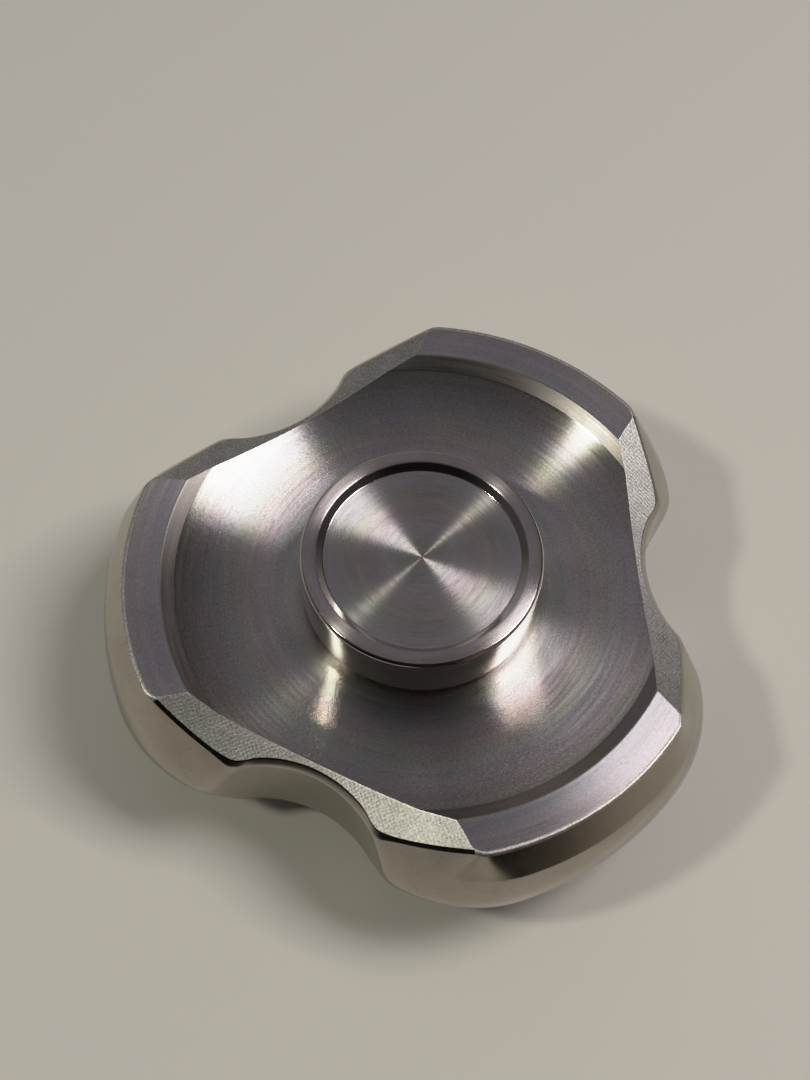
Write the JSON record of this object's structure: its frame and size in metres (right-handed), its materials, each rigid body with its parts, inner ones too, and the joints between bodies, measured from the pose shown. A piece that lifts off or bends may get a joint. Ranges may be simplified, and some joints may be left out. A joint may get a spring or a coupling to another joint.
{
  "type": "fidget spinner",
  "caption": "Three-lobed solid metal fidget spinner, dished on both faces, with finger scallops between the lobes and a raised round finger button on a ball bearing.",
  "frame": {"origin": "on the spin axis, in the plane of the lower button's rim that the spinner rests on", "axes": "+Z along the spin axis from the lower button to the upper button, +Y towards one lobe, +X completes a right-handed frame"},
  "size_m": [0.0584, 0.0551, 0.0206],
  "materials": {
    "rotor_metal": "turned dish and tip faces, bead-blasted valleys, polished walls",
    "button_metal": "circular turned face, polished side",
    "ring_metal": "fine turned",
    "bearing_steel": "ground and polished",
    "ball_steel": "mirror polished",
    "cage_metal": "satin",
    "stud_metal": "satin",
    "shim_metal": "satin"
  },
  "bodies": {
    "buttons": {"top_button": "button_metal", "bottom_button": "button_metal", "button_stud": "stud_metal", "top_shim": "shim_metal", "bottom_shim": "shim_metal", "bearing_inner_ring": "bearing_steel"},
    "rotor": {"rotor_body": "rotor_metal", "bearing_outer_ring": "bearing_steel", "bearing_lock_ring": "ring_metal"},
    "cage": {"bearing_cage": "cage_metal", "ball_01": "ball_steel", "ball_02": "ball_steel", "ball_03": "ball_steel", "ball_04": "ball_steel", "ball_05": "ball_steel", "ball_06": "ball_steel", "ball_07": "ball_steel", "ball_08": "ball_steel", "ball_09": "ball_steel", "ball_10": "ball_steel"}
  },
  "joints": [
    {"name": "rotor_spin", "type": "hinge", "parent": "buttons", "child": "rotor", "pos_m": [0, 0, 0.0103], "axis": [0, 0, 1], "continuous": true},
    {"name": "cage_spin", "type": "hinge", "parent": "buttons", "child": "cage", "pos_m": [0, 0, 0.0103], "axis": [0, 0, 1], "continuous": true}
  ],
  "couplings": [
    {"joint": "cage_spin", "follows": "rotor_spin", "ratio": 0.58333}
  ]
}
